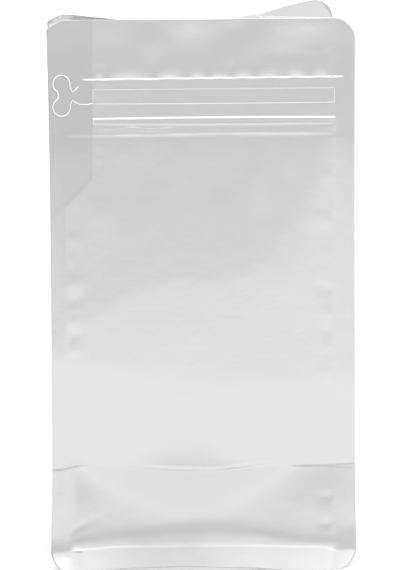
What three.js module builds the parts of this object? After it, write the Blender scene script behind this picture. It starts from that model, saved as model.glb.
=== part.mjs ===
// A flat-bottom pouch of plain satin film, empty and standing open on its base. Every sheet of film is a
// plate bent to its place: a front and a back panel, two side gussets folded inwards, a base, and the
// press-to-close strip that lies behind the front panel. Millimetres, +Z up. The front faces -Y, and the
// origin lies under the middle of the pouch.

import * as THREE from "three";

// Film
const FILM = 0.5; // thickness of every sheet
const SHEET_GAP = 0.3; // between two sheets that are sealed together
const SHEET_STEP = FILM + SHEET_GAP; // from the middle of a sheet to the middle of the one sealed to it

// Outline
const PANEL_WIDTH = 135; // front and back panel, with their side seals
const FRONT_HEIGHT = 240; // top edge of the front panel over the surface that the pouch stands on
const SIDE_SEAL = 9; // width of the fin down each side
const CORNER_RADIUS = 8.5;
const SEAL_HEIGHT = 9; // bottom seal, from which the skirt flares down and outwards
const CREASE_HEIGHT = 45; // old fold across the panels, where the base lay folded up inside

// Half the depth of the pouch, front to back, along the middle of a panel and along its side seals
const SEAL_HALF = { middle: 30.5, side: 33.6 };
const CREASE_HALF = { middle: 38, side: 34.4 };
const SKIRT_FLARE = { middle: 4.5, side: 5 };
const SKIRT_ARCH = 1.4; // lift of the skirt's edge in the middle, so that the pouch bears on its corners
const ARCH_HALF_WIDTH = 46;
const CROWN_POWER = 2.5; // a panel bulges evenly over most of its width, and falls off towards the seals

// Mouth: the front's edge is straight, and the back's edge follows it and swings away at both ends
const MOUTH_FRONT_Y = -7.5;
const MOUTH_BACK_Y = -2.5;
const MOUTH_SHIFT = -2.1; // the back's edge stands a little to the left
const LEFT_SWING = { at: -31.9, angle: THREE.MathUtils.degToRad(17.8) };
const RIGHT_SWING = { at: 15.1, angle: THREE.MathUtils.degToRad(32) };
const SWING_RADIUS = 6;
const RIGHT_LIFT = 1.8; // and its right corner stands a little higher

// Press-to-close strip, and the ridges that it and its seals raise in the front panel, measured down from
// the top edge
const RIDGES = [
  { below: 25.7, height: 0.5, half: 1.5 },
  { below: 30.8, height: 0.25, half: 1 },
  { below: 36.7, height: 0.3, half: 1.1 },
  { below: 42.9, height: 0.6, half: 1.4, track: true },
  { below: 46.4, height: 0.45, half: 1.2, track: true },
  { below: 51, height: 0.4, half: 1.8 },
];
const RIDGE_CREST = 0.9; // share of a ridge's width that stands at its full height
const RIDGE_LEFT = -47;
const RIDGE_RIGHT = 57;
const RIDGE_FADE = 5;
const STRIP_RIGHT = 50; // the strip stops short of the gusset that is folded behind the panel
const STRIP_THICKNESS = 0.5;
const TRACK_THICKNESS = 1.4; // its two interlocking tracks
const TRACK_HALF = 0.9;
const STRIP_TOP = FRONT_HEIGHT - 27.5;
const STRIP_BOTTOM = FRONT_HEIGHT - 50;

// Side gussets
const FOLD_RADIUS = 0.75; // of the fold down the middle
const LEAST_FIN = 1; // width of their fins where a corner is rounded off
const BACK_ARM_LAID = 0.85; // how closely the back arm lies along the back panel at the mouth

// Base: flat on the ground in the middle, and rising to the bottom seal around its rim
const RIM_RUN = 17;

const HALF_WIDTH = PANEL_WIDTH / 2;
const SEAL_EDGE = HALF_WIDTH - SIDE_SEAL; // inner edge of a side seal
const PANEL_RISE = FRONT_HEIGHT - CREASE_HEIGHT;
const UP = new THREE.Vector3(0, 0, 1);

const { lerp, clamp, smoothstep } = THREE.MathUtils;

// Half the width of a panel at a height, with its four corners rounded.
function halfWidthAt(z) {
  const fromEnd = Math.min(z, FRONT_HEIGHT - z);
  const short = Math.max(CORNER_RADIUS - fromEnd, 0);
  return HALF_WIDTH - CORNER_RADIUS + Math.sqrt(CORNER_RADIUS ** 2 - short ** 2);
}

// A column runs from -2 to 2 across a panel: 1 is the inner edge of a side seal, and 2 is the panel's
// outer edge.
function acrossAt(column, z) {
  const size = Math.abs(column);
  if (size <= 1) return column * SEAL_EDGE;
  const fin = (halfWidthAt(z) - SEAL_EDGE) * (size - 1);
  return Math.sign(column) * (SEAL_EDGE + fin);
}

// 1 in the middle of a panel, 0 from its side seals outwards.
function crown(across) {
  return 1 - Math.min(Math.abs(across) / SEAL_EDGE, 1) ** CROWN_POWER;
}

// Half the depth of the pouch at a place on a panel, up to the crease.
function halfDepth(across, z) {
  const middle = crown(across);
  const seal = lerp(SEAL_HALF.side, SEAL_HALF.middle, middle);
  if (z < SEAL_HEIGHT) {
    const flare = lerp(SKIRT_FLARE.side, SKIRT_FLARE.middle, middle);
    return seal + flare * (1 - z / SEAL_HEIGHT);
  }
  const crease = lerp(CREASE_HALF.side, CREASE_HALF.middle, middle);
  const climb = Math.min((z - SEAL_HEIGHT) / (CREASE_HEIGHT - SEAL_HEIGHT), 1);
  return lerp(seal, crease, Math.sin((climb * Math.PI) / 2));
}

// The skirt's edge is lifted a little in the middle of a panel.
function archedHeight(across, z) {
  if (z >= SEAL_HEIGHT) return z;
  const arch = 1 - smoothstep(Math.abs(across), 0, ARCH_HALF_WIDTH);
  return z + SKIRT_ARCH * arch * (1 - z / SEAL_HEIGHT);
}

// How far the ridges of the strip stand out of the front panel.
function ridgeAt(across, z) {
  const start = smoothstep(across, RIDGE_LEFT - RIDGE_FADE, RIDGE_LEFT);
  const end = 1 - smoothstep(across, RIDGE_RIGHT, RIDGE_RIGHT + RIDGE_FADE);
  const crest = (r) => Math.abs(FRONT_HEIGHT - r.below - z) < RIDGE_CREST * r.half;
  const nearest = RIDGES.find(crest);
  return nearest ? nearest.height * start * end : 0;
}

function frontPoint(across, z) {
  const climb = clamp((z - CREASE_HEIGHT) / PANEL_RISE, 0, 1);
  const y = lerp(-halfDepth(across, z), MOUTH_FRONT_Y, climb);
  return new THREE.Vector3(across, y - ridgeAt(across, z), archedHeight(across, z));
}

// Rises smoothly from 0 before a bend to the distance run past it.
function pastBend(run) {
  return (Math.sqrt(run ** 2 + SWING_RADIUS ** 2) + run) / 2;
}

// The back panel's top edge. The panel keeps its length, so its edge is lower where the panel leans more.
function backMouth(across) {
  const left = pastBend(LEFT_SWING.at - across);
  const right = pastBend(across - RIGHT_SWING.at);
  const x =
    across +
    MOUTH_SHIFT +
    left * (1 - Math.cos(LEFT_SWING.angle)) -
    right * (1 - Math.cos(RIGHT_SWING.angle));
  const y =
    MOUTH_BACK_Y +
    left * Math.sin(LEFT_SWING.angle) +
    right * Math.sin(RIGHT_SWING.angle);
  const lean = y - halfDepth(across, CREASE_HEIGHT);
  const length = Math.hypot(PANEL_RISE, CREASE_HALF.middle + MOUTH_FRONT_Y);
  const rise = Math.sqrt(length ** 2 - lean ** 2 - (x - across) ** 2);
  const lift = RIGHT_LIFT * smoothstep(across, RIGHT_SWING.at, HALF_WIDTH);
  return new THREE.Vector3(x, y, CREASE_HEIGHT + rise + lift);
}

function backPoint(across, z) {
  const height = Math.min(z, CREASE_HEIGHT);
  const low = new THREE.Vector3(across, halfDepth(across, height), archedHeight(across, height));
  const climb = clamp((z - CREASE_HEIGHT) / PANEL_RISE, 0, 1);
  return low.lerp(backMouth(across), climb);
}

// Unit vector from the back panel towards the inside of the pouch.
function backInward(across, z) {
  const along = backPoint(across + 1, z).sub(backPoint(across - 1, z));
  return new THREE.Vector3().crossVectors(along, UP).normalize();
}

// A gusset's column runs from 0 to 5: its front fin up to 1, its front arm up to 2, the rounded fold
// between its two arms up to 3, its back arm up to 4 and its back fin up to 5. Side is 1 on the right and
// -1 on the left.
function gussetPoint(side, column, z) {
  const outer = Math.max(halfWidthAt(z), SEAL_EDGE + LEAST_FIN);
  const onFront = (across) =>
    frontPoint(side * across, z).add(new THREE.Vector3(0, SHEET_STEP, 0));
  const onBack = (across, step) =>
    backPoint(side * across, z).addScaledVector(backInward(side * across, z), step);

  if (column < 1) return onFront(lerp(outer, SEAL_EDGE, column));
  if (column > 4) return onBack(lerp(SEAL_EDGE, outer, column - 4), SHEET_STEP);

  // The fold lies halfway between the panels, as far in as the arms reach.
  const frontSeam = onFront(SEAL_EDGE);
  const backSeam = onBack(SEAL_EDGE, SHEET_STEP);
  const arm = CREASE_HALF.side - SHEET_STEP;
  const half = frontSeam.distanceTo(backSeam) / 2;
  const folded = z > CREASE_HEIGHT ? Math.sqrt(Math.max(arm ** 2 - half ** 2, 0)) : 0;
  const fold = onFront(SEAL_EDGE - folded)
    .add(onBack(SEAL_EDGE - folded, SHEET_STEP))
    .multiplyScalar(0.5);
  const climb = clamp((z - CREASE_HEIGHT) / PANEL_RISE, 0, 1);
  const turn = new THREE.Vector3(0, FOLD_RADIUS, 0);
  if (column > 2 && column < 3) {
    return fold.add(new THREE.Vector3(-side * FOLD_RADIUS * climb, 0, 0));
  }
  if (column <= 2) return frontSeam.lerp(fold.sub(turn), column - 1);

  // The back arm lies along the back panel near the mouth, where the pouch is pressed flat.
  const start = fold.add(turn);
  const straight = start.clone().lerp(backSeam, 0.5);
  const laid = onBack(SEAL_EDGE - folded / 2, SHEET_STEP + SHEET_GAP);
  const middle = straight.clone().lerp(laid, BACK_ARM_LAID * climb ** 2);
  const control = middle.multiplyScalar(2).sub(straight);
  return new THREE.QuadraticBezierCurve3(start, control, backSeam).getPoint(column - 3);
}

// The base's columns run across from -1 to 1 and its rows from -1 at the front to 1 at the back.
function basePoint(column, row) {
  const halfAcross = SEAL_EDGE - SHEET_STEP;
  const x = column * halfAcross;
  const halfRun = halfDepth(x, SEAL_HEIGHT) - SHEET_STEP;
  const rimAcross = smoothstep(Math.abs(column), 1 - RIM_RUN / halfAcross, 1);
  const rimRun = smoothstep(Math.abs(row), 1 - RIM_RUN / halfRun, 1);
  const z = lerp(FILM / 2, SEAL_HEIGHT, Math.max(rimAcross, rimRun));
  return new THREE.Vector3(x, row * halfRun, z);
}

// The offset from the middle of a bent sheet to its face, mitred where the sheet folds between two columns.
function faceOffset(before, here, after, up) {
  const first = new THREE.Vector3().crossVectors(up, here.clone().sub(before)).normalize();
  const second = new THREE.Vector3().crossVectors(up, after.clone().sub(here)).normalize();
  return first.clone().add(second).divideScalar(1 + first.dot(second));
}

function filmFaces() {
  return [-FILM / 2, FILM / 2];
}

// A plate with its columns and rows laid on a surface, and its two faces at the given distances from it.
// The first row of an upright sheet keeps its height, so that the sheet stands flat on its edge.
function bentSheet(columns, rows, surface, faces = filmFaces, standing = true) {
  const lastColumn = columns.length - 1;
  const lastRow = rows.length - 1;
  const grid = columns.map((column) => rows.map((row) => surface(column, row)));
  const sheet = new THREE.BoxGeometry(1, 1, 1, lastColumn, 1, lastRow);
  const position = sheet.getAttribute("position");
  for (let n = 0; n < position.count; n++) {
    const i = Math.round((position.getX(n) + 0.5) * lastColumn);
    const j = Math.round((position.getZ(n) + 0.5) * lastRow);
    const here = grid[i][j];
    const up = grid[i][Math.min(j + 1, lastRow)].clone().sub(grid[i][Math.max(j - 1, 0)]);
    const before = i > 0 ? grid[i - 1][j] : here.clone().multiplyScalar(2).sub(grid[1][j]);
    const after =
      i < lastColumn ? grid[i + 1][j] : here.clone().multiplyScalar(2).sub(grid[i - 1][j]);
    const offset = faceOffset(before, here, after, up);
    if (standing && j === 0) offset.z = 0;
    const [back, front] = faces(columns[i], rows[j]);
    const point = here.clone().addScaledVector(offset, position.getY(n) > 0 ? front : back);
    position.setXYZ(n, point.x, point.y, point.z);
  }
  sheet.deleteAttribute("uv");
  sheet.computeVertexNormals();
  return sheet;
}

// Evenly spaced values from first to last, both included.
function spread(first, last, steps) {
  return Array.from({ length: steps + 1 }, (_, n) => lerp(first, last, n / steps));
}

// Heights that follow a rounded corner, from its end to where the side runs straight.
function cornerRows(steps) {
  return spread(0, Math.PI / 2, steps).map((turn) => CORNER_RADIUS * (1 - Math.cos(turn)));
}

const BOTTOM_ROWS = [...cornerRows(4), SEAL_HEIGHT, 14, 20, 27, 35, CREASE_HEIGHT];
const TOP_ROWS = cornerRows(4)
  .map((below) => FRONT_HEIGHT - below)
  .reverse();
const FIN_COLUMNS = [-2, -1.5, -1];
const PANEL_COLUMNS = [
  ...FIN_COLUMNS,
  ...spread(-1, 1, 12).slice(1, -1),
  ...FIN_COLUMNS.map((column) => -column).reverse(),
];

function film(tone, roughness) {
  return new THREE.MeshStandardMaterial({ color: tone, roughness, metalness: 0.25 });
}

function piece(name, geometry, material) {
  const mesh = new THREE.Mesh(geometry, material);
  mesh.name = name;
  return mesh;
}

function frontPanel() {
  const plain = [62, 84, 108, 132, 156, 178];
  const ridged = RIDGES.flatMap((r) => [-r.half, 0, r.half].map((dz) => FRONT_HEIGHT - r.below + dz));
  const rows = [...BOTTOM_ROWS, ...plain, ...ridged.sort((a, b) => a - b), 223, ...TOP_ROWS];
  const surface = (column, z) => frontPoint(acrossAt(column, z), z);
  return piece("front_panel", bentSheet(PANEL_COLUMNS, rows, surface), film(0xd6d7d8, 0.42));
}

function backPanel() {
  const rows = [...BOTTOM_ROWS, 70, 100, 130, 160, 190, 215, ...TOP_ROWS];
  const surface = (column, z) => backPoint(acrossAt(column, z), z);
  return piece("back_panel", bentSheet(PANEL_COLUMNS, rows, surface), film(0xd6d7d8, 0.42));
}

function gusset(name, side) {
  const half = [0, ...spread(1, 2, 5)];
  const columns = [...half, 2.5, ...half.map((column) => 5 - column).reverse()];
  const rows = [...BOTTOM_ROWS, 48, 54, 64, 80, 105, 135, 165, 195, 218, ...TOP_ROWS];
  const surface = (column, z) => gussetPoint(side, column, z);
  return piece(name, bentSheet(columns, rows, surface), film(0xcfd0d1, 0.45));
}

function basePanel() {
  const acrossFlat = 1 - RIM_RUN / (SEAL_EDGE - SHEET_STEP);
  const runFlat = 1 - RIM_RUN / (SEAL_HALF.middle - SHEET_STEP);
  const rim = [1, 0.75, 0.5, 0.25];
  const place = (flat) => rim.map((t) => lerp(flat, 1, t));
  const columns = [
    ...place(acrossFlat).map((c) => -c),
    ...spread(-acrossFlat, acrossFlat, 6),
    ...place(acrossFlat).reverse(),
  ];
  const rows = [
    ...place(runFlat).map((r) => -r),
    ...spread(-runFlat, runFlat, 2),
    ...place(runFlat).reverse(),
  ];
  const sheet = bentSheet(columns, rows, basePoint, filmFaces, false);
  return piece("base_panel", sheet, film(0xcfd0d1, 0.45));
}

// The strip lies on the inner face of the front panel, with a track behind each of the two ridges that it
// raises.
function zipperStrip() {
  const tracks = RIDGES.filter((r) => r.track).map((r) => FRONT_HEIGHT - r.below);
  const edge = TRACK_HALF / 3;
  const trackRows = tracks.flatMap((z) => [
    z - TRACK_HALF,
    z - TRACK_HALF + edge,
    z + TRACK_HALF - edge,
    z + TRACK_HALF,
  ]);
  const rows = [STRIP_BOTTOM, ...trackRows.sort((a, b) => a - b), STRIP_TOP];
  const columns = spread(RIDGE_LEFT, STRIP_RIGHT, 10);
  const back = FILM / 2 + SHEET_GAP;
  const surface = (across, z) => {
    const climb = (z - CREASE_HEIGHT) / PANEL_RISE;
    const y = lerp(-halfDepth(across, CREASE_HEIGHT), MOUTH_FRONT_Y, climb);
    return new THREE.Vector3(across, y, z);
  };
  const faces = (_, z) => {
    const onTrack = tracks.some((track) => Math.abs(z - track) < TRACK_HALF - edge / 2);
    return [back, back + (onTrack ? TRACK_THICKNESS : STRIP_THICKNESS)];
  };
  const sheet = bentSheet(columns, rows, surface, faces, false);
  return piece("zipper_strip", sheet, film(0xe4e4e2, 0.5));
}

const pouch = new THREE.Group();
pouch.add(
  frontPanel(),
  backPanel(),
  gusset("gusset_left", -1),
  gusset("gusset_right", 1),
  basePanel(),
  zipperStrip(),
);

// The back panel's edge reaches a little further than the front's, so the group is set square over the
// origin.
const reach = new THREE.Box3().setFromObject(pouch);
const centre = reach.getCenter(new THREE.Vector3());
pouch.position.set(-centre.x, -centre.y, -reach.min.z);

export default pouch;
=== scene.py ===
# %% [markdown]
# # A flat-bottom pouch in satin film
#
# The real object is an empty food pouch: five sheets of plastic film, printed with nothing, sealed together
# along their edges and stood on their opened base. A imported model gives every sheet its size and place. This
# lesson makes the film itself: thin sheets with the welts, seals, bends and puckers that a real pouch has.
#
# Lengths in this file are millimetres, and are multiplied by MM where Blender takes metres. Only the floor
# and the light are written in metres.

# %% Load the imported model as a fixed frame
import math

import bmesh
import bpy
import numpy as np
from mathutils import Matrix, Vector


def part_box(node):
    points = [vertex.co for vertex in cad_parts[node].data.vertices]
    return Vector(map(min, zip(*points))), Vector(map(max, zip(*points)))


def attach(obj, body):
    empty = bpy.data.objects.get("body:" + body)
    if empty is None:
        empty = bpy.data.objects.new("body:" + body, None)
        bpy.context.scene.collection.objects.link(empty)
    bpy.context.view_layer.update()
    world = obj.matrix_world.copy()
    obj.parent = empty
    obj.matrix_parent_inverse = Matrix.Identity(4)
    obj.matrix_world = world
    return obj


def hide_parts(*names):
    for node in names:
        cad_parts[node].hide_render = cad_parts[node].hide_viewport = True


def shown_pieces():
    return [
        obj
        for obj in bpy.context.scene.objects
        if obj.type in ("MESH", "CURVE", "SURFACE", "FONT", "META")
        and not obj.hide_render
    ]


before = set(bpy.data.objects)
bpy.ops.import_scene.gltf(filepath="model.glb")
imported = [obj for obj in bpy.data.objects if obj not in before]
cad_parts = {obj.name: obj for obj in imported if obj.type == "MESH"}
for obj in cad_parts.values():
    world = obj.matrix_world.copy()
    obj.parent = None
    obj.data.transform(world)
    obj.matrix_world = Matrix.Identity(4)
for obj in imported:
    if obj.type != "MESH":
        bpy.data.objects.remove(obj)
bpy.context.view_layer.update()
MM = 0.001
panel_low, panel_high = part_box("front_panel")
MIDDLE = (panel_low.x + panel_high.x) / 2 / MM
print(len(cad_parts), "nodes in the frame")
print("panel from", [round(v / MM, 2) for v in panel_low], "to", [round(v / MM, 2) for v in panel_high])

# %% [markdown]
# ## The shape that all the sheets follow
#
# The front and the back panel bulge a little between their side seals, and lean together towards the mouth.
# The sheets could be drawn one by one, but their seams would then gape. Here one set of formulas gives half
# the pouch's depth at any place, and every sheet is laid on it, so that sealed edges always meet.

# %% Smooth steps, bumps and bends
BLUR_SHIFTS = (-1, -0.5, 0, 0.5, 1)


def mix(a, b, t):
    return a + (b - a) * t


def ease(value, start, end):
    """0 at start, 1 at end, and smooth between them."""
    t = np.clip((value - start) / (end - start), 0, 1)
    return t * t * (3 - 2 * t)


def hump(value, middle, reach):
    """A rounded bump, 1 at its middle and nearly 0 at twice its reach."""
    return np.exp(-(((value - middle) / reach) ** 2))


def kink(distance, radius):
    """Rises from 0 to the distance past a bend of that radius."""
    return (np.sqrt(distance**2 + radius**2) + distance) / 2


def followed(value, places, heights, blur):
    """A line through some places, with its corners rounded."""
    shifted = [np.interp(value + shift * blur, places, heights) for shift in BLUR_SHIFTS]
    return sum(shifted) / len(BLUR_SHIFTS)


def slope_along(value, places, degrees, blur):
    """The same for a lean in degrees, given back as a slope."""
    return np.tan(np.radians(followed(value, places, degrees, blur)))


def points(x, y, z):
    return np.stack(np.broadcast_arrays(x, y, z), axis=-1).astype(float)


for distance in (-10, 0, 10):
    print("a bend with a radius of 5 mm rises", round(float(kink(distance, 5)), 1), "mm at", distance)

# %% Main sizes
HALF_WIDTH = 67.5
FRONT_HEIGHT = 240.0
SEAL_EDGE = 58.5  # inner edge of the side seals
SEAL_HEIGHT = 9.0  # bottom seal
CREASE_HEIGHT = 45.0  # old fold across the panels
CREASE_HALF = (34.4, 37.6)  # half the depth there, at the side seals and in the middle
CROWN_POWER = 2.5
FIN_CURVE = 1.3  # how far the panel's own curve goes on over the right fin
FILM = 0.22  # thickness; the real film has about 0.13, and its cut edge would hardly show
SHEET_STEP = 0.26  # between the middles of two sheets that are sealed together


def crown(across):
    """1 in the middle of a panel and 0 at its side seals."""
    most = np.where(across < 0, 1, FIN_CURVE)
    return 1 - np.minimum(np.abs(across) / SEAL_EDGE, most) ** CROWN_POWER


def climb_at(z):
    """0 at the old fold and 1 at the mouth."""
    return np.clip((z - CREASE_HEIGHT) / (FRONT_HEIGHT - CREASE_HEIGHT), 0, 1)


print("front panel", 2 * HALF_WIDTH, "by", FRONT_HEIGHT, "mm")

# %% [markdown]
# ## Below the old fold
#
# While the pouch lay flat, its base was folded up inside, and the fold left a crease across each panel. Below
# it the film leans inwards in the middle, down to a line like an open fan. Beyond that line it leans
# outwards, and the two ends of the fan lie further back. At the bottom seal it turns out once more, into a
# skirt. One curved ramp would reflect the room evenly. Here each turn is a rounded kink in the depth
# instead, so the shades meet along lines, as they do on real film.

# %% Fan below the old fold
FAN = {
    "low": 27.0,  # height of the fan's line in its middle
    "high": 49.0,  # and at its ends
    "middle": -8.0,
    "reach": 52.0,  # from its middle to an end
    "power": 1.7,
    "turn": (7.0, 3.5),  # radius in its middle and at its ends
}
INWARDS = math.radians(7.5)  # lean of the film above the line
OUTWARDS = (
    (-66, -61, -56, -46, -30, 8, 30, 44, 58, 66),  # across
    (7.5, 8.2, 11.0, 10.3, 9.5, 9.5, 10.3, 11.5, 12.3, 10.5),  # lean below the line, in degrees
    3,  # blur
)
EASING = {"height": 28.0, "lean": math.radians(3), "radius": 3.0}  # from there down the ends lean out less
SINK = {
    "depth": (3.0, 4.8),  # how far the ends lie back at the old fold, at the left and at the right
    "change": (-50, 50),  # across, from the one to the other
    "share": (0.1, 0.7),  # of the fan's reach, from nothing to all of it
    "left_fin": (-63, -55),  # across, where it comes in over the left fin
    "top": 85.0,  # height where the ends have come forwards again
}


def fan_share(across):
    """0 in the middle of the fan and 1 at its ends."""
    return np.minimum(np.abs(across - FAN["middle"]) / FAN["reach"], 1)


def sunk(across):
    depth = mix(*SINK["depth"], ease(across, *SINK["change"]))
    return depth * ease(fan_share(across), *SINK["share"]) * ease(across, *SINK["left_fin"])


def risen(across, z):
    """What the ends of the fan have come forwards again above the old fold."""
    return sunk(across) * ease(z, CREASE_HEIGHT, SINK["top"]) * (1 - climb_at(z))


print("the ends of the fan lie back", [round(float(sunk(end)), 1) for end in SINK["change"]], "mm")

# %% Skirt
SKIRT_FROM = (
    (-58, -46, -27, -9, 8, 26, 43, 58),  # across
    (11.4, 13.4, 15.6, 18.6, 18.0, 14.7, 12.4, 11.0),  # height where the skirt begins
    6,  # blur
)
SKIRT_LEAN = (
    (-62, -46, -27, -9, 8, 26, 43, 60),
    (27.5, 25.8, 24.2, 23.5, 25.2, 26.5, 27.2, 28.5),  # degrees
    6,
)
SKIRT_TURN = (2.6, 4.8)  # radius of the turn, at the side seals and in the middle
FIN_FROM = (56.5, 61.5)  # on the fins the film turns twice, more sharply
FIN_TURNS = {
    # side: height, radius and lean in degrees of each turn
    -1: ((13.3, 2.0, 13.0), (6.9, 1.2, 32.0)),
    1: ((17.0, 3.0, 15.0), (7.6, 1.4, 29.0)),
}
ARCH = {"rise": 2.4, "middle": -6.0, "half_width": 54.0}  # of the skirt's edge
EDGE_LIFT = 0.1  # keeps the film's cut edge on the ground and not in it


def fin_flare(side, z, before):
    out = 0
    for height, radius, degrees in FIN_TURNS[side]:
        lean = math.tan(math.radians(degrees))
        out = out + (lean - before) * kink(height - z, radius)
        before = lean
    return out


def skirt_flare(across, z, before):
    """How far the skirt stands out past a wall of that slope."""
    from_seal = 1 - np.minimum(np.abs(across) / SEAL_EDGE, 1)
    turned = kink(followed(across, *SKIRT_FROM) - z, mix(*SKIRT_TURN, from_seal))
    on_panel = (slope_along(across, *SKIRT_LEAN) - before) * turned
    on_fin = np.where(across < 0, fin_flare(-1, z, before), fin_flare(1, z, before))
    return mix(on_panel, on_fin, ease(np.abs(across), *FIN_FROM))


print("the skirt leans out", min(SKIRT_LEAN[1]), "to", max(SKIRT_LEAN[1]), "degrees")


# %% Half the depth of the pouch
def half_depth(across, z):
    """From the middle of the pouch to a panel, at and below the old fold."""
    share = fan_share(across)
    line = mix(FAN["low"], FAN["high"], share ** FAN["power"])
    turn = mix(*FAN["turn"], share)
    inwards, outwards = math.tan(INWARDS), slope_along(across, *OUTWARDS)
    wall = mix(*CREASE_HALF, crown(across)) - sunk(across) - inwards * (CREASE_HEIGHT - z)
    wall += (inwards + outwards) * (kink(line - z, turn) - kink(line - CREASE_HEIGHT, turn))
    easing = math.tan(EASING["lean"]) * share**2
    wall -= easing * kink(EASING["height"] - z, EASING["radius"])
    return wall + skirt_flare(across, z, outwards - easing)


def arched(across, z):
    """The skirt's edge is lifted a little between its corners."""
    arch = ARCH["rise"] * (1 - ease(np.abs(across - ARCH["middle"]), 0, ARCH["half_width"]))
    return z + (EDGE_LIFT + arch) * np.clip(1 - z / SEAL_HEIGHT, 0, 1)


for height in (CREASE_HEIGHT, SEAL_HEIGHT, 0):
    print("half depth in the middle at", height, "is", round(float(half_depth(0.0, height)), 1))

# %% The front panel before any relief
MOUTH_FRONT_Y = -7.5
TOP_LIFT = (0.3, 0.7)  # of the front's top edge, at the left and at the right
LIFT_POWER = 12  # so that only the edge is lifted
BEND_LINES = (130.0, 88.0)  # heights of two soft bends across a panel
BEND_ANGLES = (math.radians(2.5), math.radians(4.5))
BEND_RADII = (4.0, 6.0)


def bent(z, line, angle, radius):
    """How far a panel stands out where a soft bend crosses it, between its crease and its top edge."""
    run = FRONT_HEIGHT - CREASE_HEIGHT
    chord = np.tan(angle) * (line - CREASE_HEIGHT) * (FRONT_HEIGHT - z) / run
    return (chord - np.tan(angle) * kink(line - z, radius)) * (z > CREASE_HEIGHT)


def bulge(z, lines=BEND_LINES, angles=BEND_ANGLES, radii=BEND_RADII):
    return sum(bent(z, *bend) for bend in zip(lines, angles, radii))


def smooth_front(across, z):
    z = arched(across, z)
    y = mix(-half_depth(across, np.minimum(z, CREASE_HEIGHT)), MOUTH_FRONT_Y, climb_at(z))
    lift = mix(*TOP_LIFT, (across / HALF_WIDTH + 1) / 2) * climb_at(z) ** LIFT_POWER
    return points(across, y - bulge(z) - risen(across, z), z + lift)


print("the bends stand out", round(max(float(bulge(float(z))) for z in range(50, 240, 5)), 1), "mm at most")

# %% [markdown]
# ## Outline of a panel
#
# The die that cuts the corners sat a little off on the left, so the left top corner is a shallow slanted cut
# and the others are true quarter rounds. The side edges are drawn in slightly halfway up, as film shrinks
# where it is sealed. A single width from a rectangle would lose all of that.

# %% Half the width at a height
CORNER_RADIUS = 8.6
TOP_CORNER_RADIUS = 9.6
CUT_CORNER = {"run": 7.8, "drop": 4.8, "power": 1.9}
EDGE_HOLLOW = {-1: 1.3, 1: 0.7}
HOLLOW_POWER = 3


def corner_inset(from_end, radius=CORNER_RADIUS):
    short = np.clip(radius - from_end, 0, radius)
    return radius - np.sqrt(radius**2 - short**2)


def cut_inset(from_end):
    left = np.clip(1 - from_end / CUT_CORNER["drop"], 0, 1)
    return CUT_CORNER["run"] * left ** CUT_CORNER["power"]


def half_width(side, z):
    top = FRONT_HEIGHT - z
    upper = cut_inset(top) if side < 0 else corner_inset(top, TOP_CORNER_RADIUS)
    hollow = EDGE_HOLLOW[side] * (1 - np.abs(2 * z / FRONT_HEIGHT - 1) ** HOLLOW_POWER)
    return HALF_WIDTH - upper - corner_inset(z) - hollow


print("width halfway up", round(float(half_width(-1, 120.0) + half_width(1, 120.0)), 1))

# %% [markdown]
# ## The press-to-close strip under the front panel
#
# The strip lies behind the film, and the film shows it as fine steps: each welt is a short upward-facing
# slope that catches the light from above. A bump map would give the lines but no outline and no shadow, so
# the steps are real relief. Each returns slowly to the level of the panel below it.

# %% Welts of the strip
STRIP_LEFT = -47.0
STRIP_RIGHT = 58.0
STRIP_FADE = 2.0
WELTS = (
    # height at the left end, in the middle and at the right end, how far it steps out, width, from, to, fade
    (214.8, 215.2, 215.5, 1.00, 0.70, -50.5, 61.0, 3.0),
    (210.4, 210.6, 210.7, 0.08, 0.45, -47.2, 58.4, 0.6),
    (204.4, 204.4, 204.6, 0.11, 0.50, -47.2, 58.4, 0.6),
    (198.0, 198.5, 198.3, 0.42, 0.90, -47.4, 58.6, 0.8),
    (195.4, 195.0, 195.2, 0.26, 2.20, -47.2, 58.4, 0.8),
    (190.3, 190.9, 190.7, 0.36, 2.80, -60.0, 62.0, 6.0),
)
FIRST, FOURTH, LAST = WELTS[0], WELTS[3], WELTS[-1]
BETWEEN_WELTS = 0.004  # extra slope of the panel between the first welt and the fourth
OUTSIDE = {"share": 0.6, "run": 30.0}  # beside the strip a welt is lower, and the film comes out slowly
RETURN_RUN = 140.0  # height over which the panel comes back to its own surface below the strip
print("the film steps out", round(sum(welt[3] for welt in WELTS), 2), "mm over the strip")

# %% Marks beside the welts
FLARE_DIMPLES = (-47, -42.3, -21.1, -6.4, 3, 12.6, 23.1, 35.8, 46.7, 56.7)
FLARE = {"share": 0.9, "run": 3.4}  # of the first welt's rise, which starts above it between two dimples
SCALLOP_ENDS = (-47, -37.1, -24, -14.4, -3, 9, 25, 41, 58)
SCALLOP = {"depth": 0.07, "below": 0.8, "run": 1.2}  # shallow dents under the last welt
SHORT_WELTS = (
    # where it runs, at what heights, how far it steps out
    ((-46.6, -43, -39.6), (220.7, 220.8, 220.4), 0.08),
    ((-46.3, -39.3), (208.6, 208.6), 0.05),
    ((-33.2, -26.7), (202.0, 202.2), 0.04),
    ((-45.6, -38.6, -30.7, -22.7, -12.3), (194.0, 193.6, 194.8, 194.0, 194.5), 0.08),
    ((-46.4, -42.8), (187.6, 187.2), 0.06),
    ((-46.6, -42.6), (182.0, 181.4), 0.06),
    ((-66.0, -63.4), (198.9, 198.7), 0.06),
    ((-65.6, -63.0), (194.3, 194.1), 0.06),
    ((48.0, 52.0, 57.0), (227.6, 227.0, 228.6), 0.06),
    ((53.0, 57.5), (224.4, 224.0), 0.05),
)
SHORT = {"half": 0.2, "run": 3, "fade": 1.5}  # half its step, how soon it is gone again, fade at its ends


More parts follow.
